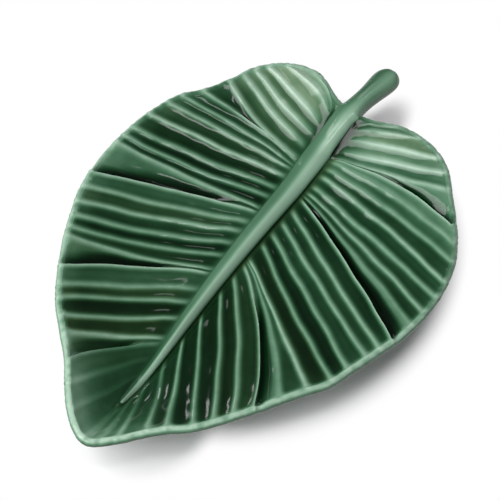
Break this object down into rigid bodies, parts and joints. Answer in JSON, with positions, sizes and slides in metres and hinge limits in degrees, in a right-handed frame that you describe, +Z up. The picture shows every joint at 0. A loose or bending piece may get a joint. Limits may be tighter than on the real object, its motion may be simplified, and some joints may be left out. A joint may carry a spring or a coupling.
{
  "type": "ring dish",
  "caption": "Leaf-shaped glazed ceramic ring dish: a shallow pleated bowl with a raised midrib that runs out as a stem, on a low oval foot ring.",
  "frame": {"origin": "centre of the dish's outline, stem included, on the surface that it stands on", "axes": "+Z up out of the bowl, +Y along the leaf from the tip to the stem, +X to the right seen from above with the stem up"},
  "size_m": [0.0899, 0.1279, 0.0163],
  "materials": {
    "green_glaze": "glossy translucent green glaze, pooled dark in the flutes and thin and pale on the veins and lip",
    "rib_glaze": "the same glossy glaze, thinner and paler over the midrib and stem",
    "bare_clay": "matt unglazed stoneware where the ring was wiped clean for firing"
  },
  "bodies": {
    "root": {"leaf_blade": "green_glaze", "stem_midrib": "rib_glaze", "foot_ring": "bare_clay"}
  },
  "joints": []
}
